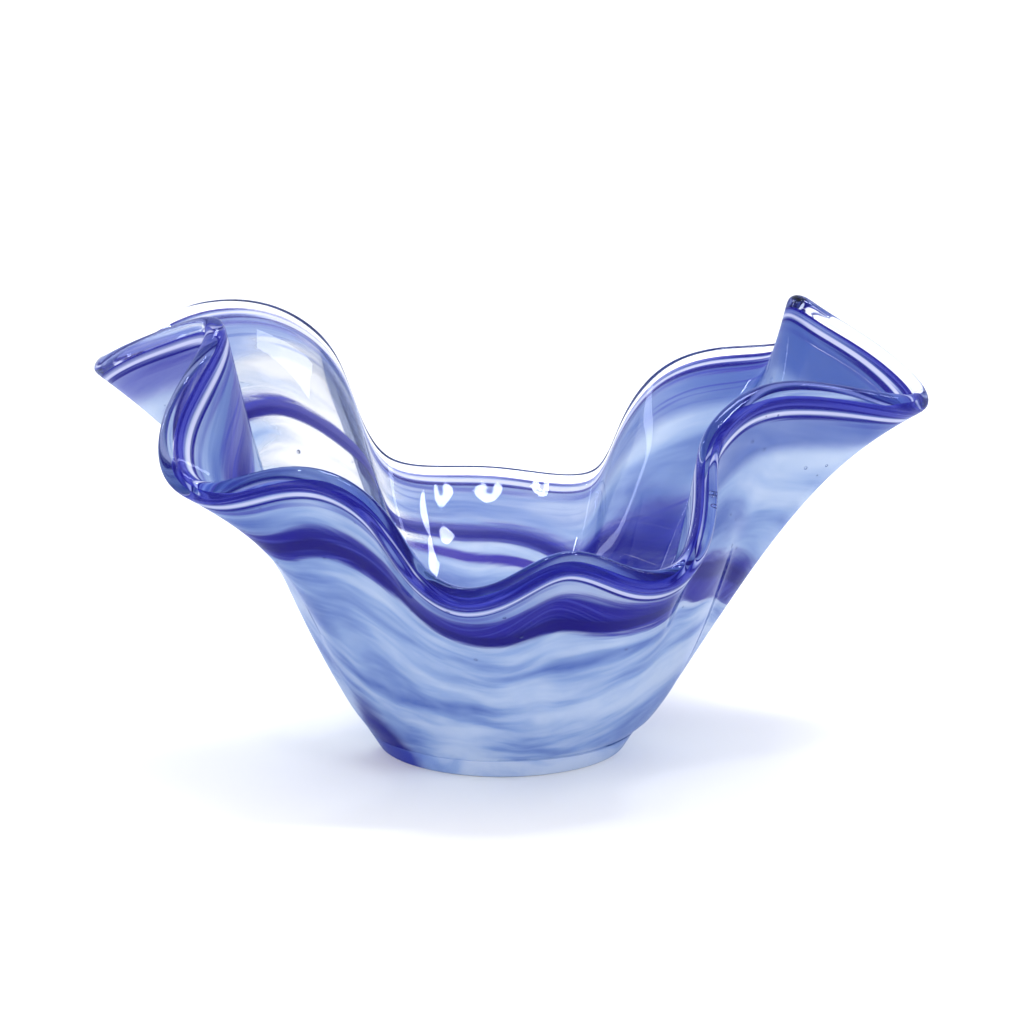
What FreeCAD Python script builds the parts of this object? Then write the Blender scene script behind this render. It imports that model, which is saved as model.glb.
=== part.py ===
"""Hand-blown art glass bowl with a deeply ruffled rim.

The bowl is one wall of fused glass in three thicknesses: a clear inner gather, a thin colour layer of
opal and cobalt rings, and a clear outer casing. A clear fire-polished lip closes them at the top and a
polished pad closes them at the foot. Millimetres, +Z up, the origin at the centre of the foot's flat face.
Angles run from +X towards +Y, and the low front of the rim faces -Y.
"""
import FreeCAD, Part
import math
import os
import Sketcher
from FreeCAD import Vector

PARTS_FOLDER = "parts"
CUBIC_MM_PER_CM = 1000
DEGREE = 3              # of the slices and of the faces through them

doc = FreeCAD.newDocument("ArtGlassBowl")

# ---------------------------------------------------------------- driving dimensions
sheet = doc.addObject("Spreadsheet::Sheet", "Dimensions")

DIMENSIONS = [
    # foot
    ("foot_radius", 41.5, "outer radius of the flat foot"),
    ("pad_height", 7, "thickness of the polished pad below the layered wall"),
    ("heel_radius", 1.2, "rounding of the foot's edge"),
    ("pontil_radius", 14, "radius of the ground hollow where the pontil rod was knocked off"),
    ("pontil_depth", 0.8, "depth of that hollow"),
    ("floor_radius", 12, "flat middle of the inside floor"),
    ("floor_height", 12, "height of the inside floor above the table"),
    # wall
    ("wall_radius", 42.5, "radius of the middle of the wall where it leaves the pad"),
    ("body_flare", 0.66, "outward run of the lower wall for each millimetre of rise"),
    ("body_bulge", 4, "how much further the lower wall swells towards +X than towards -X"),
    ("bulge_drop", 0.25, "share by which that swelling sits lower than the wall's own flare"),
    ("body_share", 0.36, "share of the rim's height over which the lower wall keeps its flare"),
    ("rim_reach_down", 58, "how far down a high rim's lean is felt"),
    ("foot_wall", 6.8, "wall thickness at the foot"),
    ("mid_wall", 5.6, "wall thickness half way up"),
    ("lip_wall", 7.0, "wall thickness at the lip"),
    ("lip_height", 4.5, "clear glass above the colour layer"),
    ("lip_crown", 1.8, "rise of the lip's crest above the line of the rim stations"),
    ("lip_fullness", 1.3, "how much fuller than a half ellipse the fire-polished lip is"),
    # colour layer
    ("colour_wall", 1.2, "thickness of the colour layer"),
    ("trail_height", 0.16, "share of the wall that the foot's cobalt trail climbs on its high side"),
    ("trail_angle", 211, "direction of the trail's high side"),
    ("sweep_width", 0.10, "width of the sweep as a share of the wall"),
    ("rim_band", 8, "width of the cobalt band under the lip"),
    # surface grid
    ("column_count", 216, "upright slices round the wall"),
]

# The middle of the lip, all the way round: direction, distance from the axis, height, and the wall's
# lean from the vertical.
# Lobes reach far out and lean over; the folds between them stand close in and nearly upright.
RIM_STATIONS = [
    (-100, 93, 76, 50),     # front dip
    (-89, 98, 80, 50),
    (-78, 102, 89, 52),     # low front wave
    (-66, 102, 82, 50),
    (-57, 101, 81, 46),     # second dip
    (-51, 99, 88, 36),
    (-45, 93, 104, 22),
    (-40, 87, 116, 12),
    (-33, 86, 123, 10),     # front right fold
    (-23, 92, 129, 18),
    (-12, 110, 127, 42),
    (-5, 130, 121, 58),
    (2, 141, 119, 62),      # tip of the right lobe
    (9, 131, 130, 52),
    (16, 115, 141, 32),
    (22, 110, 145, 14),     # right fold
    (30, 122, 133, 42),
    (38, 130, 121, 54),     # back right lobe
    (47, 117, 118, 48),
    (57, 109, 110, 34),
    (64.5, 108, 91, 34),
    (71, 108, 70, 46),
    (92, 104, 70, 50),      # long low back
    (113, 108, 75, 46),
    (120, 111, 96, 34),
    (125, 113, 119, 36),
    (133, 118, 132, 44),
    (144, 124, 137, 52),    # back left lobe
    (155, 133, 133, 58),
    (165, 142, 124, 58),    # tip of the left lobe
    (171, 132, 130, 48),
    (177, 110, 141, 26),
    (184, 96, 146, 14),     # left fold
    (193, 100, 139, 24),
    (202, 116, 121, 52),
    (208, 120, 107, 60),    # front left lobe
    (214, 115, 103, 56),
    (226, 104, 110, 42),
    (238, 99, 110, 36),
    (246, 96, 100, 36),
    (252, 95, 86, 44),
]
STATION_FIELDS = ("rim_angle", "rim_reach", "rim_height", "rim_lean")

# Middle of the cobalt sweep, all the way round: direction, share of the way up the wall.
# It runs close under the rim at front and back and low past the right lobe.
SWEEP_STATIONS = [
    (-100, 0.83),
    (-80, 0.76),
    (-60, 0.84),
    (-50, 0.81),
    (-40, 0.68),
    (-20, 0.54),
    (0, 0.44),
    (20, 0.41),
    (45, 0.46),
    (60, 0.56),
    (80, 0.75),
    (100, 0.77),
    (112, 0.78),
    (125, 0.69),
    (145, 0.72),
    (165, 0.76),
    (180, 0.84),
    (195, 0.82),
    (210, 0.79),
    (225, 0.81),
    (240, 0.78),
    (250, 0.80),
]
SWEEP_FIELDS = ("sweep_angle", "sweep_share")
FULL_TURN = 360.0


def station_alias(field, index):
    return "%s_%02d" % (field, index + 1)


def fill_sheet():
    row = 1
    for alias, value, meaning in DIMENSIONS:
        sheet.set("A%d" % row, alias)
        sheet.set("B%d" % row, str(value))
        sheet.set("C%d" % row, meaning)
        sheet.setAlias("B%d" % row, alias)
        row += 1
    for stations, fields in ((RIM_STATIONS, STATION_FIELDS), (SWEEP_STATIONS, SWEEP_FIELDS)):
        for index, station in enumerate(stations):
            sheet.set("A%d" % row, "station %d" % (index + 1))
            for column, field, value in zip("BCDE", fields, station):
                cell = "%s%d" % (column, row)
                sheet.set(cell, str(value))
                sheet.setAlias(cell, station_alias(field, index))
            row += 1
    doc.recompute()


def size(alias):
    return float(sheet.get(alias))


fill_sheet()
COLUMNS = int(size("column_count"))
PAD_HEIGHT = size("pad_height")


# ---------------------------------------------------------------- small helpers
def smooth(value):
    """0 below 0, 1 above 1, and an even ease between."""
    value = min(max(value, 0.0), 1.0)
    return value * value * (3 - 2 * value)


def mix(start, end, share):
    return start + (end - start) * share


def bezier(points, share):
    """Point of a cubic Bezier curve."""
    rest = 1 - share
    weights = (rest ** 3, 3 * rest * rest * share, 3 * rest * share * share, share ** 3)
    return sum((point * weight for point, weight in zip(points, weights)), Vector())


def bezier_slope(points, share):
    """Derivative of a cubic Bezier curve."""
    rest = 1 - share
    weights = (3 * rest * rest, 6 * rest * share, 3 * share * share)
    steps = [after - before for before, after in zip(points, points[1:])]
    return sum((step * weight for step, weight in zip(steps, weights)), Vector())


# ---------------------------------------------------------------- the rim and the wall's slices
def closed_curve(points, parameters):
    curve = Part.BSplineCurve()
    curve.interpolate(Points=points, PeriodicFlag=True, Parameters=parameters)
    return curve


def rim_curves():
    """The rim's centre line, and the same line with the lean in place of the height."""
    places = []
    leans = []
    for index in range(len(RIM_STATIONS)):
        angle, reach, height, lean = [size(station_alias(field, index)) for field in STATION_FIELDS]
        turn = math.radians(angle)
        places.append(Vector(reach * math.cos(turn), reach * math.sin(turn), height))
        leans.append(Vector(places[-1].x, places[-1].y, lean))
    evenness = 0.7      # between equal steps (0) and true distances (1), so that tight turns stay round
    parameters = [0.0]
    for index, place in enumerate(places):
        following = places[(index + 1) % len(places)]
        parameters.append(parameters[-1] + following.sub(place).Length ** evenness)
    return closed_curve(places, parameters), closed_curve(leans, parameters), parameters[-1]


class Slice:
    """One upright slice of the wall: a cubic Bezier curve from the pad to the rim."""

    def __init__(self, place, lean_degrees):
        lean = math.radians(lean_degrees)
        reach = math.hypot(place.x, place.y)
        self.outward = Vector(place.x / reach, place.y / reach, 0)
        up = Vector(0, 0, 1)
        low_rim, high_rim, low_rim_reach = 15.0, 105.0, 0.5
        highness = min((place.z - low_rim) / (high_rim - low_rim), 1)
        self.handle = size("rim_reach_down") * mix(low_rim_reach, 1.0, highness)
        self.rim_millimetre = 1 / (DEGREE * self.handle)    # share of the slice per millimetre at the rim
        rise = size("body_share") * (place.z - PAD_HEIGHT)
        start = self.outward * size("wall_radius") + up * PAD_HEIGHT
        swell = ((1 + self.outward.x) / 2) ** 2
        run = size("body_flare") * rise + size("body_bulge") * swell
        lower = start + self.outward * run + up * (rise * (1 - size("bulge_drop") * swell))
        upper = place - (self.outward * math.sin(lean) + up * math.cos(lean)) * self.handle
        self.points = (start, lower, upper, place)
        colour_stops = size("lip_height") - size("lip_crown")
        self.lip_start = 1 - colour_stops * self.rim_millimetre

    def at(self, share):
        return bezier(self.points, share)

    def upward(self, share):
        return bezier_slope(self.points, share).normalize()


def make_slices():
    places, leans, length = rim_curves()
    slices = []
    for column in range(COLUMNS):
        parameter = length * column / COLUMNS
        slices.append(Slice(places.value(parameter), leans.value(parameter).z))
    return slices


slices = make_slices()


def facing(column, share):
    """Outward direction of the wall, turned level where the wall stands on the pad."""
    before = slices[column - 1].at(share)
    after = slices[(column + 1) % COLUMNS].at(share)
    square = (after - before).cross(slices[column].upward(share)).normalize()
    level_until = 0.1
    blend = smooth(share / level_until)
    return (slices[column].outward * (1 - blend) + square * blend).normalize()


def half_wall(share):
    """Half the wall's thickness: thickest at the foot and at the lip."""
    foot_until, lip_from = 0.35, 0.75
    middle = size("mid_wall")
    foot_extra = (size("foot_wall") - middle) * smooth(1 - share / foot_until)
    lip_extra = (size("lip_wall") - middle) * smooth((share - lip_from) / (1 - lip_from))
    return (middle + foot_extra + lip_extra) / 2


def wall_point(column, share, offset):
    return slices[column].at(share) + facing(column, share) * offset


# ---------------------------------------------------------------- where the colour rings meet
def level_foot(column):
    return 0.0


def level_trail(column):
    """Top of the cobalt trail at the foot, high on one side only."""
    turn = math.radians(size("trail_angle"))
    towards = slices[column].outward.dot(Vector(math.cos(turn), math.sin(turn), 0))
    lowest = 0.04
    return mix(lowest, size("trail_height"), smooth((1 + towards) / 2))


def sweep_curve():
    """The sweep's share of the wall as the third coordinate of a closed curve run by direction."""
    points = []
    angles = []
    for index in range(len(SWEEP_STATIONS)):
        angle, share = [size(station_alias(field, index)) for field in SWEEP_FIELDS]
        turn = math.radians(angle)
        points.append(Vector(math.cos(turn), math.sin(turn), share))
        angles.append(angle)
    return closed_curve(points, angles + [angles[0] + FULL_TURN]), angles[0]


def sweep_levels():
    """Middle of the cobalt sweep for each slice."""
    curve, first_angle = sweep_curve()
    levels = []
    for slice_ in slices:
        angle = math.degrees(math.atan2(slice_.outward.y, slice_.outward.x))
        levels.append(curve.value((angle - first_angle) % FULL_TURN + first_angle).z)
    return levels


sweep_level = sweep_levels()


def level_sweep_low(column):
    return sweep_level[column] - size("sweep_width") / 2


def level_sweep_high(column):
    return sweep_level[column] + size("sweep_width") / 2


def level_rim_band(column):
    slice_ = slices[column]
    return slice_.lip_start - size("rim_band") * slice_.rim_millimetre


def level_lip(column):
    return slices[column].lip_start


# name, lower edge, upper edge, rows of the surface grid between them
COLOUR_RINGS = [
    ("cobalt_foot_trail", level_foot, level_trail, 7),
    ("opal_ground", level_trail, level_sweep_low, 18),
    ("cobalt_sweep_band", level_sweep_low, level_sweep_high, 8),
    ("opal_collar", level_sweep_high, level_rim_band, 7),
    ("cobalt_rim_band", level_rim_band, level_lip, 6),
]
SKIN_ROWS = 40
LIP_ROWS = 11
FLOOR_ROWS = 12
FLOOR_FROM = 0.16       # share of the wall where the inside corner begins


# ---------------------------------------------------------------- rows of points, and faces from them
def wall_rows(low, high, count, half):
    """Rows of points between two levels; half gives the offset from the middle of the wall."""
    rows = []
    for step in range(count):
        row = []
        for column in range(COLUMNS):
            share = mix(low(column), high(column), step / (count - 1))
            row.append(wall_point(column, share, half(share)))
        rows.append(row)
    return rows


def outer_skin(share):
    return half_wall(share)


def inner_skin(share):
    return -half_wall(share)


def colour_outside(share):
    return size("colour_wall") / 2


def colour_inside(share):
    return -size("colour_wall") / 2


def face_of(rows):
    """Smooth face through a band of closed rows, clamped across and periodic round."""
    degree = min(DEGREE, len(rows) - 1)
    spans = len(rows) - degree
    across_knots = list(range(spans + 1))
    across_mults = [degree + 1] + [1] * (spans - 1) + [degree + 1]
    round_knots = list(range(COLUMNS + 1))
    round_mults = [1] * (COLUMNS + 1)
    surface = Part.BSplineSurface()
    surface.buildFromPolesMultsKnots(rows, across_mults, round_mults, across_knots, round_knots,
                                     False, True, degree, DEGREE)
    return surface.toShape()


def disc_of(row):
    """Flat face inside one level closed row."""
    curve = Part.BSplineCurve()
    curve.buildFromPolesMultsKnots(row, [1] * (COLUMNS + 1), list(range(COLUMNS + 1)), True, DEGREE)
    return Part.Face(Part.Wire(curve.toShape()))


def between(first_row, second_row):
    """Ruled face between two rows."""
    return face_of([first_row, second_row])


def solid_of(faces):
    shell = Part.makeShell(faces)
    shell.sewShape()
    solid = Part.makeSolid(shell)
    if solid.Volume < 0:
        solid.reverse()
    return solid


def floor_rows(start_row):
    """Inside skin from the wall's foot to the flat middle of the floor, round the inside corner."""
    corner_depth, corner_run = 9.0, 20.0
    rows = [[] for _ in range(FLOOR_ROWS)]
    for column, start in enumerate(start_row):
        outward = Vector(start.x, start.y, 0).normalize()
        down = slices[column].upward(FLOOR_FROM) * -corner_depth
        middle = outward * size("floor_radius") + Vector(0, 0, size("floor_height"))
        curve = (start, start + down, middle + outward * corner_run, middle)
        for step in range(FLOOR_ROWS):
            rows[step].append(bezier(curve, (step + 1) / FLOOR_ROWS))
    return rows


def floor_level(column):
    return FLOOR_FROM


def lip_rows(lower_outside, lower_inside):
    """The rounded crest, from the outer skin over the top to the inner skin."""
    rows = [lower_outside]
    for step in range(1, LIP_ROWS - 1):
        turn = math.pi * step / (LIP_ROWS - 1)
        row = []
        for column in range(COLUMNS):
            share = slices[column].lip_start
            sideways = math.cos(turn) * (half_wall(share) + size("lip_fullness") * math.sin(turn) ** 2)
            above = size("lip_height") * math.sin(turn)
            upward = slices[column].upward(share)
            row.append(wall_point(column, share, sideways) + upward * above)
        rows.append(row)
    rows.append(lower_inside)
    return rows


# ---------------------------------------------------------------- the sub-parts
def add_feature(name, shape):
    feature = doc.addObject("Part::Feature", name)
    feature.Label = name
    feature.Shape = shape
    feature.Placement = FreeCAD.Placement()
    return feature


def origin_plane(body, role):
    return [item for item in body.Origin.OriginFeatures if item.Role == role][0]


def build_foot_pad():
    """Solid pad turned about the axis: flat foot, eased heel, flaring side, ground pontil hollow."""
    body = doc.addObject("PartDesign::Body", "foot_pad")
    body.Label = "foot_pad"
    sketch = body.newObject("Sketcher::SketchObject", "FootPadProfile")
    sketch.AttachmentSupport = [(origin_plane(body, "XZ_Plane"), "")]
    sketch.MapMode = "FlatFace"
    foot, top, height = size("foot_radius"), size("wall_radius") + size("foot_wall") / 2, PAD_HEIGHT
    corners = [Vector(0, 0, 0), Vector(foot, 0, 0), Vector(top, height, 0), Vector(0, height, 0)]
    for corner, following in zip(corners, corners[1:] + corners[:1]):
        sketch.addGeometry(Part.LineSegment(corner, following))
    bottom, side, lid, axis = range(4)
    start, end = 1, 2
    origin = -1
    sketch.addConstraint(Sketcher.Constraint("Coincident", bottom, start, origin, start))
    for line, following in ((bottom, side), (side, lid), (lid, axis), (axis, bottom)):
        sketch.addConstraint(Sketcher.Constraint("Coincident", line, end, following, start))
    sketch.addConstraint(Sketcher.Constraint("Horizontal", bottom))
    sketch.addConstraint(Sketcher.Constraint("Horizontal", lid))
    sketch.addConstraint(Sketcher.Constraint("Vertical", axis))
    for name, line, length, expression in (
            ("foot_run", bottom, foot, "Dimensions.foot_radius"),
            ("lid_run", lid, top, "Dimensions.wall_radius + Dimensions.foot_wall / 2"),
            ("rise", axis, height, "Dimensions.pad_height")):
        index = sketch.addConstraint(Sketcher.Constraint("Distance", line, length))
        sketch.renameConstraint(index, name)
        sketch.setExpression("Constraints." + name, expression)
    doc.recompute()
    turned = body.newObject("PartDesign::Revolution", "FootPadTurned")
    turned.Profile = sketch
    turned.ReferenceAxis = (sketch, ["V_Axis"])
    turned.Angle = FULL_TURN
    doc.recompute()
    nearly_flat = 0.01
    heel_edges = ["Edge%d" % (index + 1) for index, edge in enumerate(turned.Shape.Edges)
                  if edge.BoundBox.ZMax < nearly_flat and len(edge.Vertexes) == 1]
    heel = body.newObject("PartDesign::Fillet", "Heel")
    heel.Base = (turned, heel_edges)
    heel.setExpression("Radius", "Dimensions.heel_radius")
    doc.recompute()
    pontil = body.newObject("PartDesign::SubtractiveSphere", "PontilHollow")
    pontil.AttachmentSupport = [(origin_plane(body, "XY_Plane"), "")]
    pontil.MapMode = "FlatFace"
    ball = "((Dimensions.pontil_radius ^ 2 + Dimensions.pontil_depth ^ 2) / (2 * Dimensions.pontil_depth))"
    pontil.setExpression("Radius", ball)
    pontil.setExpression("AttachmentOffset.Base.z", "Dimensions.pontil_depth - " + ball)
    doc.recompute()
    body.Tip = pontil
    return body


def build_layers():
    """The casing, the colour rings, the inner gather and the lip, each closed against its neighbours."""
    outer = wall_rows(level_foot, level_lip, SKIN_ROWS, outer_skin)
    inner = wall_rows(floor_level, level_lip, SKIN_ROWS, inner_skin)
    floor = floor_rows(inner[0])
    outside_bands = []
    inside_bands = []
    features = []
    for name, low, high, count in COLOUR_RINGS:
        outside = wall_rows(low, high, count, colour_outside)
        inside = wall_rows(low, high, count, colour_inside)
        outside_bands.append(outside)
        inside_bands.append(inside)
        faces = [face_of(outside), face_of(inside)]
        faces += [between(outside[0], inside[0]), between(outside[-1], inside[-1])]
        features.append(add_feature(name, solid_of(faces)))
    colour_foot = (outside_bands[0][0], inside_bands[0][0])
    colour_top = (outside_bands[-1][-1], inside_bands[-1][-1])
    features.append(add_feature("outer_casing", solid_of(
        [face_of(outer), between(outer[0], colour_foot[0]), between(outer[-1], colour_top[0])]
        + [face_of(rows) for rows in outside_bands])))
    inner_faces = [face_of(list(reversed(floor)) + inner), disc_of(floor[-1]), disc_of(colour_foot[1]),
                   between(inner[-1], colour_top[1])]
    features.append(add_feature("inner_gather", solid_of(
        inner_faces + [face_of(rows) for rows in inside_bands])))
    features.append(add_feature("clear_lip", solid_of([
        face_of(lip_rows(outer[-1], inner[-1])), between(outer[-1], colour_top[0]),
        between(colour_top[0], colour_top[1]), between(colour_top[1], inner[-1])])))
    return features


sub_parts = [build_foot_pad()] + build_layers()
doc.recompute()


# ---------------------------------------------------------------- checks, then the files
def check(item):
    trouble = [state for state in item.State if state in ("Invalid", "Error")]
    if trouble:
        raise RuntimeError("%s is %s" % (item.Label, trouble))


for item in doc.Objects:
    check(item)
os.makedirs(PARTS_FOLDER, exist_ok=True)
for part in sub_parts:
    shape = part.Shape
    if shape.isNull() or not shape.isValid() or shape.Volume <= 0 or len(shape.Solids) != 1:
        raise RuntimeError("%s has no sound solid" % part.Label)
    shape.exportStep(os.path.join(PARTS_FOLDER, part.Label + ".step"))
    box = shape.BoundBox
    volume = shape.Volume / CUBIC_MM_PER_CM
    print("%-18s %8.1f cm3  x %6.1f %6.1f  y %6.1f %6.1f  z %6.1f %6.1f" % (
        part.Label, volume, box.XMin, box.XMax, box.YMin, box.YMax, box.ZMin, box.ZMax))
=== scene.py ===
"""Looks for the ruffled art glass bowl: clear glass over a thin layer of opal and cobalt colour.

The wall is drawn again as smooth grids from the same rim and slices as the CAD part, so that the glass
bends light cleanly. Each CAD piece has one visual piece of its own. Metres, +Z up, foot at the origin.
"""
import math

import bpy
import numpy as np
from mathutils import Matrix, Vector


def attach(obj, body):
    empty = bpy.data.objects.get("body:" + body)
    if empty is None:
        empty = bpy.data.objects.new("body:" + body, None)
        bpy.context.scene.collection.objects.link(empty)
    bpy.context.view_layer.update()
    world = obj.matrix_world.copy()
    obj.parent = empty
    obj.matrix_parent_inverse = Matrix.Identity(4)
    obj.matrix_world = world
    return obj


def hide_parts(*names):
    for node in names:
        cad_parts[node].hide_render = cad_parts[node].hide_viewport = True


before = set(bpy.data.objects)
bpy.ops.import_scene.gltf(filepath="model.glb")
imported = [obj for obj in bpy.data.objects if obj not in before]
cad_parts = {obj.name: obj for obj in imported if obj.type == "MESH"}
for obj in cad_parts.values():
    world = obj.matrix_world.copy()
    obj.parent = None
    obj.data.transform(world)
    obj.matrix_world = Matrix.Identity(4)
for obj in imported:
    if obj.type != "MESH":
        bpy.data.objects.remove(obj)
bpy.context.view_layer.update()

MM = 0.001
rng = np.random.default_rng(7)

# ---------------------------------------------------------------- the bowl's sizes, in millimetres
PAD_HEIGHT = 7.0
FOOT_RADIUS = 41.5
HEEL_RADIUS = 1.2
PONTIL_RADIUS = 14.0
PONTIL_DEPTH = 0.8
FLOOR_RADIUS = 12.0
FLOOR_HEIGHT = 12.0
FLOOR_FROM = 0.16       # share of the wall where the inside corner begins
CORNER_DEPTH = 9.0      # how far the inside corner's curve runs on down the wall, and out along the floor
CORNER_RUN = 20.0
WALL_RADIUS = 42.5
BODY_FLARE = 0.66       # outward run of the lower wall for each millimetre of rise
BODY_BULGE = 4.0
BULGE_DROP = 0.25
BODY_SHARE = 0.36       # share of the rim's height over which the lower wall keeps its flare
RIM_REACH_DOWN = 58.0   # how far down a high rim's lean is felt
LOW_RIM = 15.0          # a rim this low feels it for this share of that
LOW_RIM_REACH = 0.5
RIM_RANGE = 90.0
FOOT_WALL = 6.8
MID_WALL = 5.6
LIP_WALL = 7.0
FOOT_WALL_UNTIL = 0.35  # shares of the wall between which it has its middle thickness
LIP_WALL_FROM = 0.75
LEVEL_UNTIL = 0.1       # share of the wall below which its thickness turns level
LIP_HEIGHT = 4.5
LIP_CROWN = 1.8
LIP_FULLNESS = 1.3
COLOUR_WALL = 1.2
RIM_BAND = 8.0
SWEEP_WIDTH = 0.10      # as a share of the wall
TRAIL_ANGLE = 211.0
TRAIL_LOWEST = 0.04     # share of the wall that the foot's ring climbs, and how much more on its high side
TRAIL_RISE = 0.12
GAP = 0.05              # kept between pieces that are fused on the real bowl

# rows and columns of the grids
COLUMNS = 720           # upright slices round the wall
SKIN_ROWS = 56
FLOOR_ROWS = 16
LIP_ROWS = 25
MEASURE_ROWS = 161
RIM_EVENNESS = 0.7      # between equal steps (0) and true distances (1) along the rim

# The middle of the lip: direction in degrees, distance from the axis, height, lean from the vertical.
RIM_STATIONS = [
    (-100, 93, 76, 50),     # front dip
    (-89, 98, 80, 50),
    (-78, 102, 89, 52),     # low front wave
    (-66, 102, 82, 50),
    (-57, 101, 81, 46),     # second dip
    (-51, 99, 88, 36),
    (-45, 93, 104, 22),
    (-40, 87, 116, 12),
    (-33, 86, 123, 10),     # front right fold
    (-23, 92, 129, 18),
    (-12, 110, 127, 42),
    (-5, 130, 121, 58),
    (2, 141, 119, 62),      # tip of the right lobe
    (9, 131, 130, 52),
    (16, 115, 141, 32),
    (22, 110, 145, 14),     # right fold
    (30, 122, 133, 42),
    (38, 130, 121, 54),     # back right lobe
    (47, 117, 118, 48),
    (57, 109, 110, 34),
    (64.5, 108, 91, 34),
    (71, 108, 70, 46),
    (92, 104, 70, 50),      # long low back
    (113, 108, 75, 46),
    (120, 111, 96, 34),
    (125, 113, 119, 36),
    (133, 118, 132, 44),
    (144, 124, 137, 52),    # back left lobe
    (155, 133, 133, 58),
    (165, 142, 124, 58),    # tip of the left lobe
    (171, 132, 130, 48),
    (177, 110, 141, 26),
    (184, 96, 146, 14),     # left fold
    (193, 100, 139, 24),
    (202, 116, 121, 52),
    (208, 120, 107, 60),    # front left lobe
    (214, 115, 103, 56),
    (226, 104, 110, 42),
    (238, 99, 110, 36),
    (246, 96, 100, 36),
    (252, 95, 86, 44),
]

# The cobalt sweep: direction in degrees, share of the way up the wall, half its width in millimetres, where
# its darkest line runs, from -1 at the lower edge to 1 at the upper, and how strong its colour is.
SWEEP_STATIONS = [
    (-100, 0.83, 6.5, -0.6, 1.0), (-80, 0.76, 9.0, -0.7, 1.0), (-60, 0.84, 8.0, -0.3, 1.0),
    (-50, 0.81, 6.5, 0.1, 1.0), (-40, 0.68, 6.5, 0.4, 1.0), (-20, 0.54, 7.0, 0.4, 1.0),
    (0, 0.44, 8.0, 0.2, 0.9), (20, 0.41, 12.0, 0.0, 0.6), (45, 0.46, 15.0, -0.3, 0.6),
    (60, 0.56, 9.0, -0.2, 0.7), (80, 0.75, 4.5, -0.2, 0.7), (100, 0.77, 4.0, -0.2, 0.7),
    (112, 0.78, 3.4, -0.3, 0.65), (125, 0.69, 3.4, -0.4, 0.6), (145, 0.72, 4.0, -0.5, 0.7),
    (165, 0.76, 5.5, -0.4, 0.9), (180, 0.84, 8.0, -0.3, 0.75), (195, 0.82, 9.0, -0.2, 0.6),
    (210, 0.79, 6.5, -0.2, 1.0), (225, 0.81, 6.0, -0.3, 1.0), (240, 0.78, 6.5, -0.5, 1.0),
    (250, 0.80, 6.0, -0.6, 1.0),
]
# The ground: direction, how milky the opal is, how blue, width of the cobalt under the lip, how much
# cobalt is drawn up into the lip, and how blue the collar below the rim is.
GROUND_STATIONS = [
    (-150, 0.93, 0.52, 4.0, 1.0, 0.1),
    (-120, 0.95, 0.52, 4.0, 1.0, 0.1),
    (-90, 0.96, 0.44, 4.5, 1.0, 0.4),
    (-60, 0.95, 0.34, 4.0, 1.0, 0.4),
    (-30, 0.93, 0.38, 4.0, 0.9, 1.1),
    (-8, 0.92, 0.36, 5.0, 0.8, 1.1),
    (12, 0.90, 0.55, 2.0, 0.5, 1.1),
    (35, 0.92, 0.85, 2.0, 0.05, 0.9),
    (52, 0.82, 0.80, 1.6, 0.0, 0.7),
    (64, 0.62, 0.60, 1.2, 0.0, 0.5),
    (80, 0.70, 0.42, 1.2, 0.1, 0.4),
    (100, 0.66, 0.40, 1.2, 0.1, 0.4),
    (118, 0.34, 0.36, 1.0, 0.0, 0.4),
    (135, 0.34, 0.38, 1.0, 0.0, 0.45),
    (150, 0.46, 0.36, 1.0, 0.0, 0.6),
    (165, 0.75, 0.14, 1.0, 0.2, 0.95),
    (180, 0.88, 0.20, 1.5, 0.4, 0.95),
    (195, 0.90, 0.40, 4.0, 0.9, 0.4),
]
# Tilt of the drawn wisps across the lower wall: direction, millimetres.
TILT_STATIONS = [(-150, 0), (-95, -4), (-55, 6), (-20, 26), (30, 20), (90, 0), (150, 6)]


# ---------------------------------------------------------------- the wall as grids of points
def periodic_spline(steps, points, places):
    """Cubic spline through closed points, at the given places along steps."""
    count = len(points)
    span = np.diff(steps)
    matrix = np.zeros((count, count))
    bend = np.zeros_like(points)
    for i in range(count):
        after = (i + 1) % count
        matrix[i, i - 1] += span[i - 1]
        matrix[i, i] += 2 * (span[i - 1] + span[i])
        matrix[i, after] += span[i]
        bend[i] = 6 * ((points[after] - points[i]) / span[i] - (points[i] - points[i - 1]) / span[i - 1])
    second = np.linalg.solve(matrix, bend)
    k = np.clip(np.searchsorted(steps, places, side="right") - 1, 0, count - 1)
    t = (places - steps[k])[:, None]
    h = span[k][:, None]
    a = second[k]
    b = second[(k + 1) % count]
    p = points[k]
    q = points[(k + 1) % count]
    return (a * (h - t) ** 3 + b * t ** 3) / (6 * h) + (p / h - a * h / 6) * (h - t) + (q / h - b * h / 6) * t


def smooth(value):
    value = np.clip(value, 0, 1)
    return value * value * (3 - 2 * value)


def round_values(stations, turn):
    """Values given by direction, eased between stations all the way round."""
    table = np.array(stations, float)
    angles = table[:, 0]
    closed = np.r_[angles, angles[0] + 360]
    start = angles[0]
    places = (turn - start) % 360 + start
    return periodic_spline(closed, table[:, 1:], places)


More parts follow.
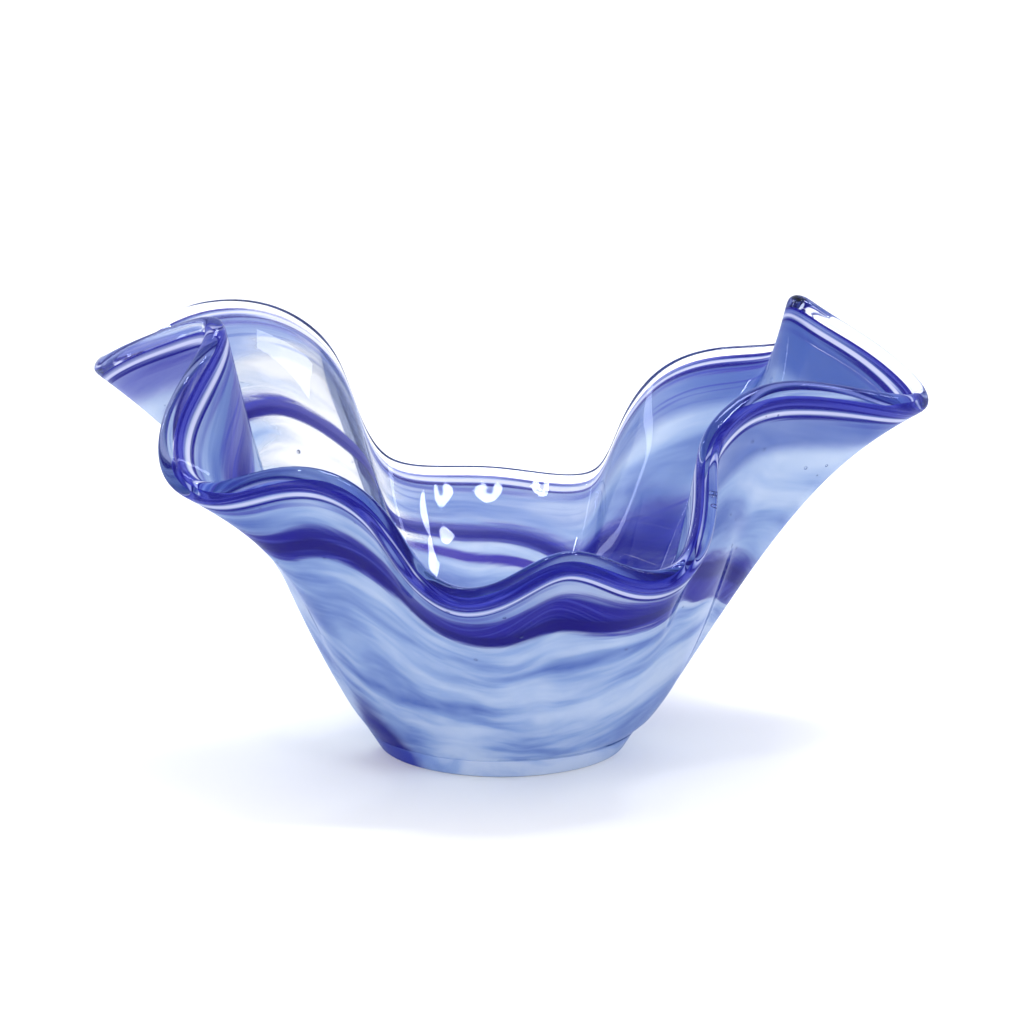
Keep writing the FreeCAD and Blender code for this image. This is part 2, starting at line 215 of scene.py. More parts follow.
class Wall:
    """The middle surface of the wall, one slice for each column."""

    def __init__(self, columns):
        table = np.array(RIM_STATIONS, float)
        turn = np.radians(table[:, 0])
        places = np.c_[table[:, 1] * np.cos(turn), table[:, 1] * np.sin(turn), table[:, 2:]]
        strides = np.linalg.norm(np.roll(places[:, :3], -1, 0) - places[:, :3], axis=1) ** RIM_EVENNESS
        steps = np.r_[0, np.cumsum(strides)]
        rim = periodic_spline(steps, places, steps[-1] * np.arange(columns) / columns)
        x, y, z, lean = rim.T
        reach = np.hypot(x, y)
        self.columns = columns
        self.out_x = x / reach
        self.out_y = y / reach
        self.turn = np.degrees(np.arctan2(y, x))
        lean = np.radians(lean)
        highness = np.minimum((z - LOW_RIM) / RIM_RANGE, 1)
        self.handle = RIM_REACH_DOWN * (LOW_RIM_REACH + (1 - LOW_RIM_REACH) * highness)
        self.rim_millimetre = 1 / (3 * self.handle)     # share of the wall per millimetre at the rim
        rise = BODY_SHARE * (z - PAD_HEIGHT)
        swell = ((1 + self.out_x) / 2) ** 2
        run = BODY_FLARE * rise + BODY_BULGE * swell
        base = np.full(columns, WALL_RADIUS)
        foot = np.full(columns, PAD_HEIGHT)
        self.reaches = (base, base + run, reach - np.sin(lean) * self.handle, reach)
        self.heights = (foot, foot + rise * (1 - BULGE_DROP * swell), z - np.cos(lean) * self.handle, z)
        self.lip_start = 1 - (LIP_HEIGHT - LIP_CROWN) * self.rim_millimetre
        self.measure()

    def at(self, share):
        share = np.broadcast_to(share, (self.columns,))
        rest = 1 - share
        weights = (rest ** 3, 3 * rest * rest * share, 3 * rest * share * share, share ** 3)
        reach = sum(w * p for w, p in zip(weights, self.reaches))
        height = sum(w * p for w, p in zip(weights, self.heights))
        return np.c_[reach * self.out_x, reach * self.out_y, height]

    def upward(self, share):
        share = np.broadcast_to(share, (self.columns,))
        rest = 1 - share
        weights = (3 * rest * rest, 6 * rest * share, 3 * share * share)
        reach = sum(w * (q - p) for w, p, q in zip(weights, self.reaches, self.reaches[1:]))
        height = sum(w * (q - p) for w, p, q in zip(weights, self.heights, self.heights[1:]))
        slope = np.c_[reach * self.out_x, reach * self.out_y, height]
        return slope / np.linalg.norm(slope, axis=1)[:, None]

    def facing(self, share):
        share = np.broadcast_to(share, (self.columns,))
        middle = self.at(share)
        across = np.roll(middle, -1, 0) - np.roll(middle, 1, 0)
        square = np.cross(across, self.upward(share))
        square /= np.linalg.norm(square, axis=1)[:, None]
        level = np.c_[self.out_x, self.out_y, np.zeros(self.columns)]
        blend = smooth(share / LEVEL_UNTIL)[:, None]
        mixed = level * (1 - blend) + square * blend
        return mixed / np.linalg.norm(mixed, axis=1)[:, None]

    def half(self, share):
        foot_extra = (FOOT_WALL - MID_WALL) * smooth(1 - share / FOOT_WALL_UNTIL)
        lip_extra = (LIP_WALL - MID_WALL) * smooth((share - LIP_WALL_FROM) / (1 - LIP_WALL_FROM))
        return (MID_WALL + foot_extra + lip_extra) / 2

    def point(self, share, offset):
        offset = np.broadcast_to(offset, (self.columns,))
        return self.at(share) + self.facing(share) * offset[:, None]

    def measure(self):
        """Distance up the wall at even shares, for each column."""
        self.shares = np.linspace(0, 1, MEASURE_ROWS)
        rows = np.array([self.at(share) for share in self.shares])
        strides = np.linalg.norm(np.diff(rows, axis=0), axis=2)
        self.climbs = np.r_[np.zeros((1, self.columns)), np.cumsum(strides, axis=0)]

    def climb(self, share):
        """Millimetres up the wall from the pad."""
        share = np.broadcast_to(share, (self.columns,))
        place = np.clip(share, 0, 1) * (len(self.shares) - 1)
        low = np.minimum(place.astype(int), len(self.shares) - 2)
        column = np.arange(self.columns)
        rest = place - low
        return self.climbs[low, column] * (1 - rest) + self.climbs[low + 1, column] * rest


wall = Wall(COLUMNS)
sweep_share, sweep_half, sweep_core, sweep_strength = round_values(SWEEP_STATIONS, wall.turn).T
sweep_climb = wall.climb(sweep_share)
crest_climb = wall.climb(1.0) + LIP_CROWN
milk, blue, rim_width, lip_tint, collar = round_values(GROUND_STATIONS, wall.turn).T
tilt = round_values(TILT_STATIONS, wall.turn)[:, 0]
trail_toward = smooth((1 + np.cos(np.radians(wall.turn - TRAIL_ANGLE))) / 2)
trail_away = np.abs((wall.turn - TRAIL_ANGLE + 180) % 360 - 180)
FLOW_AT_SWEEP = 66.0    # the wisps' own height at the sweep, and what it gains from there to the crest
FLOW_ABOVE_SWEEP = 34.0


def paint(climb):
    """Where a row of points lies in the pattern, for the colour layer's material."""
    climb = np.broadcast_to(climb, (wall.columns,))
    below = crest_climb - climb
    way_up = np.clip(climb / sweep_climb, 0, 1)
    under = climb * FLOW_AT_SWEEP / sweep_climb - tilt * np.sin(math.pi * way_up)
    over = FLOW_AT_SWEEP + FLOW_ABOVE_SWEEP * (climb - sweep_climb) / (crest_climb - sweep_climb)
    flow = np.where(climb < sweep_climb, under, over)
    return {
        "below_crest": below,
        "sweep_place": (climb - sweep_climb) / sweep_half,
        "sweep_core": sweep_core,
        "sweep_strength": sweep_strength,
        "climb": climb,
        "flow": flow,
        "milk": milk,
        "blue": blue,
        "rim_width": rim_width,
        "lip_tint": lip_tint,
        "collar": collar,
        "trail_away": trail_away,
        "round_x": wall.out_x,
        "round_y": wall.out_y,
    }


PAINT_NAMES = list(paint(0.0))


# ---------------------------------------------------------------- meshes from rows
BUBBLES = 90
BUBBLE_RINGS = 7
BUBBLE_SIDES = 12
BUBBLE_SHARES = (0.55, 0.97)
BUBBLE_OFFSETS = (1.7, 2.2)     # from the middle of the wall, in millimetres
BUBBLE_RADII = (0.5, 0.9)       # square roots of the smallest and largest radius, in millimetres


def bubble_shell(centre, radius, first):
    """Points and inward-facing quads and triangles of one small ball."""
    levels = np.linspace(0, math.pi, BUBBLE_RINGS + 2)[1:-1]
    turns = np.arange(BUBBLE_SIDES) * 2 * math.pi / BUBBLE_SIDES
    points = [centre + radius * np.array([math.sin(level) * math.cos(turn), math.sin(level) * math.sin(turn),
                                          math.cos(level)]) for level in levels for turn in turns]
    faces = []
    for ring in range(BUBBLE_RINGS - 1):
        for side in range(BUBBLE_SIDES):
            after = (side + 1) % BUBBLE_SIDES
            low = first + ring * BUBBLE_SIDES
            high = low + BUBBLE_SIDES
            faces.append([low + side, low + after, high + after, high + side])
    top = first + len(points)
    last = first + (BUBBLE_RINGS - 1) * BUBBLE_SIDES
    for side in range(BUBBLE_SIDES):
        after = (side + 1) % BUBBLE_SIDES
        faces.append([first + after, first + side, top])
        faces.append([last + side, last + after, top + 1])
    points.append(centre + np.array([0, 0, radius]))
    points.append(centre - np.array([0, 0, radius]))
    return points, faces


def make_bubbles():
    """Small air bubbles caught in the clear glass near the rim: where each is and how big."""
    found = []
    for _ in range(BUBBLES):
        column = int(rng.integers(COLUMNS))
        share = float(rng.uniform(*BUBBLE_SHARES))
        depth = float(rng.uniform(*BUBBLE_OFFSETS))
        radius = float(rng.uniform(*BUBBLE_RADII)) ** 2
        found.append((wall.point(share, depth)[column], radius))
    return found


SKIN, FUSED = 0, 1


def build_mesh(name, rows, paints, kinds, closed, caps=(), balls=()):
    """A solid from closed rows of points; caps are ((row, point, kind), ...) discs that end it."""
    count, columns = len(rows), wall.columns
    points = np.concatenate(rows)
    data = {key: np.concatenate([p[key] for p in paints]) for key in PAINT_NAMES}
    column = np.arange(columns)
    after = (column + 1) % columns
    faces = []
    kind_list = []
    bands = count if closed else count - 1
    for row in range(bands):
        above = (row + 1) % count
        quads = np.c_[row * columns + column, row * columns + after,
                      above * columns + after, above * columns + column]
        faces.extend(quads.tolist())
        kind_list.extend([kinds[row]] * columns)
    for row, centre, kind in caps:
        tip = len(points)
        points = np.r_[points, [centre]]
        for key in PAINT_NAMES:
            data[key] = np.r_[data[key], data[key][row * columns:(row + 1) * columns].mean()]
        ring = row * columns + column
        following = row * columns + after
        if row == 0:
            triangles = np.c_[following, ring, np.full(columns, tip)]
        else:
            triangles = np.c_[ring, following, np.full(columns, tip)]
        faces.extend(triangles.tolist())
        kind_list.extend([kind] * columns)
    for centre, radius in balls:
        shell, shell_faces = bubble_shell(centre, radius, len(points))
        points = np.r_[points, shell]
        faces.extend(shell_faces)
        kind_list.extend([SKIN] * len(shell_faces))
    for key in PAINT_NAMES:
        data[key] = np.r_[data[key], np.zeros(len(points) - len(data[key]))]
    mesh = bpy.data.meshes.new(name)
    mesh.from_pydata((points * MM).tolist(), [], faces)
    mesh.polygons.foreach_set("material_index", kind_list)
    mesh.polygons.foreach_set("use_smooth", [True] * len(faces))
    for key, values in data.items():
        attribute = mesh.attributes.new(key, "FLOAT", "POINT")
        attribute.data.foreach_set("value", values.astype(np.float32))
    mesh.validate()
    mesh.update()
    mesh.set_sharp_from_angle(angle=math.radians(50))
    return mesh


def add_piece(name, node, mesh, materials):
    piece = bpy.data.objects.new(name, mesh)
    bpy.context.scene.collection.objects.link(piece)
    for material in materials:
        mesh.materials.append(material)
    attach(piece, "root")
    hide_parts(node)


def wall_rows(low, high, count, offset_of):
    rows = []
    paints = []
    for step in np.linspace(0, 1, count):
        share = low + (high - low) * step
        share = np.broadcast_to(share, (wall.columns,))
        rows.append(wall.point(share, offset_of(share)))
        paints.append(paint(wall.climb(share)))
    return rows, paints


def outside(share):
    return wall.half(share)


def inside(share):
    return -wall.half(share)


def colour_outside(gap):
    return lambda share: COLOUR_WALL / 2 + gap


def colour_inside(gap):
    return lambda share: -COLOUR_WALL / 2 - gap


# ---------------------------------------------------------------- materials
class Nodes:
    """Short ways to add shader nodes and join them."""

    def __init__(self, tree):
        self.tree = tree

    def add(self, kind, **settings):
        node = self.tree.nodes.new(kind)
        for key, value in settings.items():
            setattr(node, key, value)
        return node

    def join(self, source, target):
        if isinstance(source, (int, float, tuple)):
            target.default_value = source
        else:
            self.tree.links.new(source, target)

    def math(self, operation, first, second=0.0, third=0.0):
        node = self.add("ShaderNodeMath", operation=operation)
        for socket, value in zip(node.inputs, (first, second, third)):
            self.join(value, socket)
        return node.outputs[0]

    def value(self, name):
        return self.add("ShaderNodeAttribute", attribute_name=name).outputs["Fac"]

    def vector(self, x, y, z):
        node = self.add("ShaderNodeCombineXYZ")
        for socket, value in zip(node.inputs, (x, y, z)):
            self.join(value, socket)
        return node.outputs[0]

    def noise(self, vector, detail, rough):
        node = self.add("ShaderNodeTexNoise")
        self.join(vector, node.inputs["Vector"])
        node.inputs["Scale"].default_value = 1.0
        node.inputs["Detail"].default_value = detail
        node.inputs["Roughness"].default_value = rough
        return node.outputs["Fac"]

    def streaks(self, around, along, height, detail=3.0, rough=0.5):
        """Noise drawn out round the bowl: small around and large along give long thin streaks."""
        x = self.math("MULTIPLY", self.value("round_x"), around)
        y = self.math("MULTIPLY", self.value("round_y"), around)
        place = self.vector(x, y, self.math("MULTIPLY", height, along))
        return self.noise(place, detail, rough)

    def ease(self, value, start, end, low=0.0, high=1.0):
        """Smooth step from low at start to high at end."""
        node = self.add("ShaderNodeMapRange", interpolation_type="SMOOTHSTEP")
        self.join(value, node.inputs["Value"])
        node.inputs["From Min"].default_value = start
        node.inputs["From Max"].default_value = end
        node.inputs["To Min"].default_value = low
        node.inputs["To Max"].default_value = high
        return node.outputs["Result"]

    def band(self, value, middle, half, soft):
        """1 within half of the middle, fading over soft."""
        distance = self.math("ABSOLUTE", self.math("SUBTRACT", value, middle))
        return self.ease(distance, half, half + soft, 1.0, 0.0)

    def blend(self, share, first, second):
        node = self.add("ShaderNodeMix", data_type="RGBA")
        self.join(share, node.inputs[0])
        for socket, value in ((node.inputs[6], first), (node.inputs[7], second)):
            self.join(value, socket)
        return node.outputs[2]

    def mix_shaders(self, share, first, second):
        node = self.add("ShaderNodeMixShader")
        self.join(share, node.inputs[0])
        self.tree.links.new(first.outputs[0], node.inputs[1])
        self.tree.links.new(second.outputs[0], node.inputs[2])
        return node

    def shader(self, kind, **settings):
        """A shader node with its sockets set: spaces in a socket's name are written as underscores."""
        node = self.add(kind)
        for key, value in settings.items():
            self.join(value, node.inputs[key.replace("_", " ")])
        return node

    def finish(self, shader, kind="ShaderNodeOutputMaterial"):
        out = self.add(kind)
        self.tree.links.new(shader.outputs[0], out.inputs["Surface"])


def new_material(name):
    material = bpy.data.materials.new(name)
    material.use_nodes = True
    material.node_tree.nodes.clear()
    return material, Nodes(material.node_tree)


def rgb(*parts):
    return (*parts, 1.0)


OPAL_PALE = rgb(0.62, 0.70, 0.82)
OPAL_LIGHT = rgb(0.37, 0.49, 0.72)
OPAL_MID = rgb(0.115, 0.195, 0.52)
OPAL_GREY = rgb(0.30, 0.34, 0.46)
COLLAR_BLUE = rgb(0.055, 0.065, 0.47)
COBALT_SOFT = rgb(0.052, 0.030, 0.43)
COBALT_LIGHT = rgb(0.085, 0.095, 0.52)
COBALT = rgb(0.016, 0.012, 0.30)
COBALT_DARK = rgb(0.016, 0.006, 0.24)
THREAD_WHITE = rgb(0.72, 0.74, 0.90)
LIP_BLUE = rgb(0.46, 0.52, 0.94)
REFLECTION = rgb(0.45, 0.50, 0.66)
GLASS_IOR = 1.47
POLISH = 0.02           # roughness of the polished glass
WHITE = rgb(1.0, 1.0, 1.0)


# Lines and bands of the pattern: place, half width and softness. Those at the rim are in millimetres below
# the crest or below the rim's cobalt, those at the sweep in half widths of the sweep.
RIM_EDGE = (3.4, 4.8)
PALE_THREAD = (5.5, 0.45, 0.8)
DARK_LINE = (7.3, 0.2, 0.9)
SECOND_LINE = (10.0, 0.3, 1.6)
DRAWN_STREAKS = (13.0, 6.0, 8.0)
COLLAR_STARTS = (2.0, 8.0)
COLLAR_DEPTH = 15.5
COLLAR_EXTRA = 6.0      # more where the ground is blue
COLLAR_SOFTNESS = 8.0
SWEEP_LOWER_EDGE = (-1.25, -0.85)
SWEEP_UPPER_EDGE = (0.55, 1.5)
SWEEP_CORE = (0.0, 0.18, 0.45)
ECHO_LINE = (-2.6, 0.25, 0.5)
ECHO_TOWARDS_BACK = (0.84, 0.94)
TRAIL_HALF_ANGLE = 34.0
TRAIL_TOP = 24.0        # millimetres up the wall, and where the trail's top has sunk to at its half angle
TRAIL_END = -14.0
TRAIL_EDGE = (-3.0, 14.0)
MOST_STOPPED = 0.99


class Pattern:
    """Colour of the glass layer and how much of the light it stops, from the place in the pattern."""

    def __init__(self, n):
        self.n = n
        self.below = n.value("below_crest")
        self.blue = n.value("blue")
        wander = 20.0
        slow = n.streaks(1.4, 0.030, n.value("flow"), detail=2.0)
        self.wavering = n.math("MULTIPLY_ADD", n.math("SUBTRACT", slow, 0.5), wander, n.value("flow"))
        self.broad = n.streaks(1.1, 0.075, self.wavering)
        fine = n.streaks(1.9, 0.22, self.wavering, detail=4.0, rough=0.6)
        self.ragged = n.math("MULTIPLY", n.math("SUBTRACT", fine, 0.5), 1.3)
        self.streak = n.math("MULTIPLY_ADD", self.broad, 0.75, n.math("MULTIPLY", fine, 0.25))
        self.streak = n.math("MULTIPLY_ADD", n.math("SUBTRACT", self.blue, 0.5), 0.30, self.streak)
        low_down = n.ease(n.value("climb"), 12.0, 48.0, 0.45, 0.0)
        self.milky = n.math("MINIMUM", n.math("ADD", n.value("milk"), low_down), 0.95)
        self.lay_opal()
        self.lay_streaks()
        self.lay_sweep()
        self.lay_rim_band()
        self.lay_foot_trail()
        self.density = n.math("MINIMUM", self.density, MOST_STOPPED)

    def tint(self, mask, colour):
        self.colour = self.n.blend(mask, self.colour, colour)

    def lay(self, mask, colour, stops, covers=1.0):
        """Colour over what is there: how much of the light it stops, and how far it covers the rest."""
        self.tint(self.n.math("MULTIPLY", mask, covers), colour)
        self.stop(mask, stops)

    def stop(self, mask, share):
        self.density = self.n.math("MAXIMUM", self.density, self.n.math("MULTIPLY", mask, share))

    def lay_opal(self):
        """Opal ground from pale to mid blue, bluer in the collar, thinning to a grey haze."""
        n = self.n
        cloud = n.streaks(5.0, 0.10, self.wavering, detail=4.0, rough=0.6)
        self.colour = n.blend(n.ease(self.streak, 0.38, 0.56), OPAL_PALE, OPAL_LIGHT)
        self.tint(n.ease(self.streak, 0.48, 0.70), OPAL_MID)
        self.tint(n.math("MULTIPLY", n.ease(cloud, 0.45, 0.7), 0.3), OPAL_LIGHT)
        depth = n.math("MULTIPLY_ADD", n.math("SUBTRACT", self.broad, 0.5), 12.0, self.below)
        wide = n.ease(self.blue, 0.28, 0.36)
        past = n.math("SUBTRACT", depth, n.math("MULTIPLY_ADD", wide, COLLAR_EXTRA, COLLAR_DEPTH))
        fading = n.ease(past, 0.0, COLLAR_SOFTNESS, 1.0, 0.0)
        collar = n.math("MULTIPLY", n.ease(depth, *COLLAR_STARTS), fading)
        collar = n.math("MULTIPLY", collar, n.value("collar"))
        self.tint(n.math("MULTIPLY", collar, n.ease(self.streak, 0.30, 0.55, 0.6, 0.9)),
                  n.blend(wide, COLLAR_BLUE, OPAL_MID))
        around = n.math("MULTIPLY_ADD", collar, 0.3, self.streak)
        veil = n.ease(n.math("SUBTRACT", around, n.math("MULTIPLY_ADD", self.milky, -0.9, 0.76)), 0.0, 0.2)
        self.tint(n.math("SUBTRACT", 1.0, veil), OPAL_GREY)
        self.density = n.math("MULTIPLY", n.math("MULTIPLY_ADD", veil, 0.70, 0.30),
                              n.math("MULTIPLY_ADD", self.milky, 0.42, 0.55))
        self.stop(collar, 0.85)

    def lay_streaks(self):
        """Thin streaks below the rim where the glass is nearly clear, darker ones where it is bluest."""
        n = self.n
        clearness = n.ease(self.milky, 0.5, 0.75, 1.0, 0.0)
        blueness = n.ease(self.blue, 0.6, 0.8)
        drawn = n.ease(n.streaks(1.3, 0.42, self.below), 0.50, 0.60)
        drawn = n.math("MULTIPLY", drawn, n.math("MAXIMUM", clearness, blueness))
        drawn = n.math("MULTIPLY", drawn, n.band(self.below, *DRAWN_STREAKS))
        self.lay(drawn, n.blend(blueness, OPAL_MID, COBALT_LIGHT), 0.7, covers=0.7)

    def lay_sweep(self):
        """Cobalt sweep: a dark line, softer to both sides and feathered at its upper edge."""
        n = self.n
        sweep = n.value("sweep_place")
        strength = n.value("sweep_strength")
        swept = n.math("ADD", sweep, self.ragged)
        feathered = n.math("MULTIPLY_ADD", self.ragged, 0.7, swept)
        fading = n.ease(feathered, *SWEEP_UPPER_EDGE, 1.0, 0.0)
        soft = n.math("MULTIPLY", n.ease(swept, *SWEEP_LOWER_EDGE), fading)
        near = n.math("SUBTRACT", n.math("MULTIPLY_ADD", self.ragged, 0.4, sweep), n.value("sweep_core"))
        core = n.math("MULTIPLY", n.band(near, *SWEEP_CORE), n.ease(strength, 0.5, 1.0, 0.3, 1.0))
        self.lay(soft, COBALT_SOFT, 0.97, covers=strength)
        deeper = n.math("MULTIPLY", soft, n.ease(self.streak, 0.40, 0.62, 0.5, 1.0))
        self.tint(n.math("MULTIPLY", deeper, n.ease(strength, 0.6, 1.0, 0.1, 1.0)), COBALT)
        paler = n.ease(n.streaks(1.2, 0.5, self.below), 0.50, 0.66)
        self.tint(n.math("MULTIPLY", soft, n.math("MULTIPLY", paler, 0.7)), COBALT_LIGHT)
        self.lay(core, COBALT_DARK, 0.99)
        # a second thin line below it at the back, where the glass is clear
        echo = n.math("MULTIPLY", n.band(swept, *ECHO_LINE), n.ease(n.value("round_y"), *ECHO_TOWARDS_BACK))
        self.lay(echo, COBALT_SOFT, 0.8)

    def lay_rim_band(self):
        """The rim's cobalt band, with a pale thread and thin dark lines below it."""
        n = self.n
        thin = n.streaks(2.0, 0.9, self.below, detail=2.0)
        edge = n.math("MULTIPLY_ADD", n.math("SUBTRACT", thin, 0.5), 2.6, self.below)
        edge = n.math("SUBTRACT", edge, n.value("rim_width"))
        second = n.math("MULTIPLY", n.band(edge, *SECOND_LINE), n.ease(self.broad, 0.4, 0.6))
        self.tint(n.math("MULTIPLY", second, 0.6), COBALT_SOFT)
        self.lay(n.band(edge, *DARK_LINE), COBALT, 0.8)
        self.lay(n.band(edge, *PALE_THREAD), THREAD_WHITE, 0.8)
        tone = n.blend(n.ease(thin, 0.44, 0.62), COBALT, COBALT_LIGHT)
        self.lay(n.ease(edge, *RIM_EDGE, 1.0, 0.0), tone, 0.93)

    def lay_foot_trail(self):
        """Cobalt trail low on one side of the foot."""
        n = self.n
        top = n.ease(n.value("trail_away"), 0.0, TRAIL_HALF_ANGLE, TRAIL_TOP, TRAIL_END)
        inside = n.math("MULTIPLY_ADD", self.ragged, 9.0, n.math("SUBTRACT", top, n.value("climb")))
        self.lay(n.ease(inside, *TRAIL_EDGE), COBALT, 1.0)


def make_colour_layer(name):
    """Thin colour: part of the light passes, the rest is scattered to both sides."""
    material, n = new_material(name)
    pattern = Pattern(n)
    front = n.shader("ShaderNodeBsdfDiffuse", Color=pattern.colour)
    through = n.shader("ShaderNodeBsdfTranslucent", Color=pattern.colour)
    body = n.mix_shaders(0.35, front, through)
    tint = n.blend(n.math("MULTIPLY", pattern.density, 0.6), WHITE, pattern.colour)
    clear = n.shader("ShaderNodeBsdfTransparent", Color=tint)
    # the ray meets both faces of the layer, so each face stops the square root's share
    each = n.math("SUBTRACT", 1.0, n.math("SQRT", n.math("SUBTRACT", 1.0, pattern.density)))
    n.finish(n.mix_shaders(each, clear, body))
    return material


def lip_threads(n):
    """Tint of the lip's glass: cobalt threads drawn up from the band below it."""
    threads = n.streaks(3.0, 0.9, n.value("below_crest"), detail=4.0)
    threads = n.ease(threads, 0.40, 0.62, 0.0, 0.85)
    return n.blend(n.math("MULTIPLY", n.value("lip_tint"), threads), WHITE, LIP_BLUE)


def make_clear_glass(name, lip=False):
    """Fire-polished glass skin; lamps and soft light reach the colour layer through it."""
    material, n = new_material(name)
    tint = lip_threads(n) if lip else WHITE
    bent = n.shader("ShaderNodeBsdfRefraction", Color=tint, Roughness=0.0, IOR=GLASS_IOR)
    mirror = n.shader("ShaderNodeBsdfGlossy", Color=REFLECTION, Roughness=POLISH)
    fresnel = n.shader("ShaderNodeFresnel", IOR=GLASS_IOR)
    glass = n.mix_shaders(fresnel.outputs[0], bent, mirror)
    clear = n.shader("ShaderNodeBsdfTransparent")
    path = n.add("ShaderNodeLightPath")
    let_by = n.math("MAXIMUM", path.outputs["Is Shadow Ray"], path.outputs["Is Diffuse Ray"])
    n.finish(n.mix_shaders(let_by, glass, clear))
    return material


def make_fused(name):
    """Faces melted against a neighbour: nothing to see."""
    material, n = new_material(name)
    n.finish(n.shader("ShaderNodeBsdfTransparent"))
    return material


def make_core(name):
    """Solid opal inside the pad, in the same colours as the layer above it and a little bluer."""
    material, n = new_material(name)
    n.finish(n.shader("ShaderNodeBsdfDiffuse", Color=n.blend(0.25, Pattern(n).colour, OPAL_MID)))
    return material


clear_skin = make_clear_glass("clear_glass")
fused = make_fused("fused_face")


# ---------------------------------------------------------------- the pieces
def build_ring(name, low, high, count):
    """One ring of the colour layer."""
    outer, outer_paint = wall_rows(low, high, count, colour_outside(-GAP))
    inner, inner_paint = wall_rows(high, low, count, colour_inside(-GAP))
    kinds = [SKIN] * (count - 1) + [FUSED] + [SKIN] * (count - 1) + [FUSED]
    mesh = build_mesh(name, outer + inner, outer_paint + inner_paint, kinds, True)
    add_piece("glass_" + name, name, mesh, [make_colour_layer(name), fused])


def lip_rows(rows_count):
    """The rounded crest, from the outer skin over the top to the inner skin."""
    rows = []
    paints = []
    share = wall.lip_start
    for turn in np.linspace(0, math.pi, rows_count):
        sideways = math.cos(turn) * (wall.half(share) + LIP_FULLNESS * math.sin(turn) ** 2)
        above = LIP_HEIGHT * math.sin(turn) + GAP
        rows.append(wall.point(share, sideways) + wall.upward(share) * above)
        paints.append(paint(wall.climb(share) + above))
    return rows, paints


def flat_row(share, offset, lift):
    row = wall.point(share, np.broadcast_to(offset, (wall.columns,)))
    return row + wall.upward(share) * lift, paint(wall.climb(share))


edge_gap = GAP * wall.rim_millimetre
ring_edges = {
    "foot": np.zeros(COLUMNS),
    "trail": TRAIL_LOWEST + TRAIL_RISE * trail_toward,
    "sweep_low": sweep_share - SWEEP_WIDTH / 2,
    "sweep_high": sweep_share + SWEEP_WIDTH / 2,
    "rim_band": wall.lip_start - RIM_BAND * wall.rim_millimetre,
    "lip": wall.lip_start,
}
# name, lower edge, upper edge, rows of the grid between them
RINGS = [
    ("cobalt_foot_trail", "foot", "trail", 8),
    ("opal_ground", "trail", "sweep_low", 34),
    ("cobalt_sweep_band", "sweep_low", "sweep_high", 10),
    ("opal_collar", "sweep_high", "rim_band", 16),
    ("cobalt_rim_band", "rim_band", "lip", 8),
]


def build_casing():
    """Outer casing: skin up the outside, then back down against the colour layer."""
    skin, skin_paint = wall_rows(edge_gap, wall.lip_start, SKIN_ROWS, outside)
    back, back_paint = wall_rows(wall.lip_start, edge_gap, SKIN_ROWS, colour_outside(0))
    kinds = [SKIN] * (SKIN_ROWS - 1) + [FUSED] * (SKIN_ROWS + 1)
    mesh = build_mesh("outer_casing", skin + back, skin_paint + back_paint, kinds, True, balls=make_bubbles())
    add_piece("glass_outer_casing", "outer_casing", mesh, [clear_skin, fused])


def floor_corner(start):
    """Rows from the foot of the inside skin, round the corner, to the flat middle of the floor."""
    outward = np.c_[start[:, 0], start[:, 1], np.zeros(COLUMNS)]
    outward /= np.linalg.norm(outward, axis=1)[:, None]
    middle = outward * FLOOR_RADIUS + np.array([0, 0, FLOOR_HEIGHT])
    curve = (start, start - wall.upward(FLOOR_FROM) * CORNER_DEPTH, middle + outward * CORNER_RUN, middle)
    rows = []
    for step in np.linspace(0, 1, FLOOR_ROWS + 1)[1:]:
        rest = 1 - step
        weights = (rest ** 3, 3 * rest * rest * step, 3 * rest * step * step, step ** 3)
        rows.append(sum(w * p for w, p in zip(weights, curve)))
    return rows, [paint(0.0)] * FLOOR_ROWS


def build_gather():
    """Inner gather: against the colour layer going up, inside skin going down, then the floor."""
    back, back_paint = wall_rows(edge_gap, wall.lip_start, SKIN_ROWS, colour_inside(0))
    skin, skin_paint = wall_rows(wall.lip_start, FLOOR_FROM, SKIN_ROWS, inside)
    corner, corner_paint = floor_corner(skin[-1])
    kinds = [FUSED] * SKIN_ROWS + [SKIN] * (SKIN_ROWS - 1 + FLOOR_ROWS)
    rows = back + skin + corner
    caps = ((0, (0, 0, PAD_HEIGHT + GAP), FUSED), (len(rows) - 1, (0, 0, FLOOR_HEIGHT), SKIN))
    mesh = build_mesh("inner_gather", rows, back_paint + skin_paint + corner_paint, kinds, False, caps)
    add_piece("glass_inner_gather", "inner_gather", mesh, [clear_skin, fused])


def build_lip():
    """The lip: over the crest, then across the three layers below it."""
    rows, paints = lip_rows(LIP_ROWS)
    for offset in (-COLOUR_WALL / 2, COLOUR_WALL / 2):
        row, row_paint = flat_row(wall.lip_start, offset, GAP)
        rows.append(row)
        paints.append(row_paint)
    kinds = [SKIN] * (LIP_ROWS - 1) + [FUSED] * 3
    mesh = build_mesh("clear_lip", rows, paints, kinds, True)
    add_piece("glass_lip", "clear_lip", mesh, [make_clear_glass("lip_glass", lip=True), fused])


# the foot pad: flat face with its ground hollow, eased heel and flaring side, and opal inside
CORE_INSET = 0.75
CORE_FOOT = 0.3
CORE_TOP = 6.8
CORE_HOLE = 0.36        # share of the core's radius that follows the pontil hollow


def turned_rows(profile):
    turned = np.c_[wall.out_x, wall.out_y]
    rows = [np.c_[turned * radius, np.full(COLUMNS, height)] for radius, height in profile]
    return rows, [paint(height - PAD_HEIGHT) for _, height in profile]


